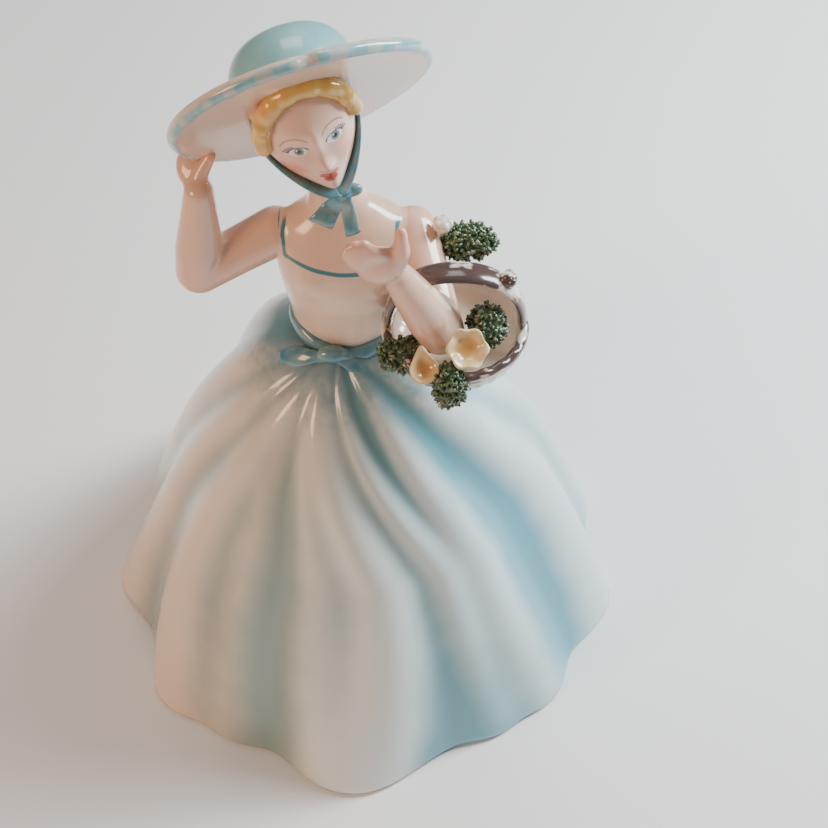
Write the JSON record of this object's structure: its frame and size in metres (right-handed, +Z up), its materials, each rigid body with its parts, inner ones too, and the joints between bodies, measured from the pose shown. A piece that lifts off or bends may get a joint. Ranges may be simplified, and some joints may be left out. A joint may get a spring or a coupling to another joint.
{
  "type": "porcelain lady figurine",
  "caption": "Glazed porcelain figurine of a woman in a wide folded skirt, one hand on her tilted sun hat and a basket of flowers on her other arm.",
  "frame": {"origin": "centre of the foot on the surface it stands on", "axes": "+Z up, the figure faces -Y, her right arm is towards -X"},
  "size_m": [0.1227, 0.1239, 0.1718],
  "materials": {
    "skirt_glaze": "gloss",
    "bisque": "matte",
    "bodice_glaze": "gloss",
    "skin_glaze": "gloss",
    "face_glaze": "gloss",
    "hair_glaze": "gloss",
    "hat_glaze": "gloss",
    "crown_glaze": "gloss",
    "ribbon_glaze": "gloss",
    "sash_glaze": "gloss",
    "basket_glaze": "gloss",
    "handle_glaze": "gloss",
    "moss_glaze": "semi-gloss",
    "flower_glaze": "gloss",
    "bud_glaze": "gloss"
  },
  "bodies": {
    "root": {"skirt": "skirt_glaze", "base_floor": "bisque", "bodice": "bodice_glaze", "neck": "skin_glaze", "head": "face_glaze", "hair": "hair_glaze", "hat_brim": "hat_glaze", "hat_crown": "crown_glaze", "chin_ribbon_right": "ribbon_glaze", "chin_ribbon_left": "ribbon_glaze", "bow_knot": "ribbon_glaze", "bow_tail_right": "ribbon_glaze", "bow_tail_left": "ribbon_glaze", "right_arm": "skin_glaze", "left_arm": "skin_glaze", "waist_sash": "sash_glaze", "sash_knot": "sash_glaze", "sash_tail_right": "sash_glaze", "sash_tail_left": "sash_glaze", "basket_body": "basket_glaze", "basket_rim": "basket_glaze", "basket_handle": "handle_glaze", "handle_knob": "handle_glaze", "moss_back": "moss_glaze", "moss_side": "moss_glaze", "moss_front": "moss_glaze", "moss_tail": "moss_glaze", "flower_rosette": "flower_glaze", "flower_bell": "flower_glaze", "flower_bud": "bud_glaze"}
  },
  "joints": []
}
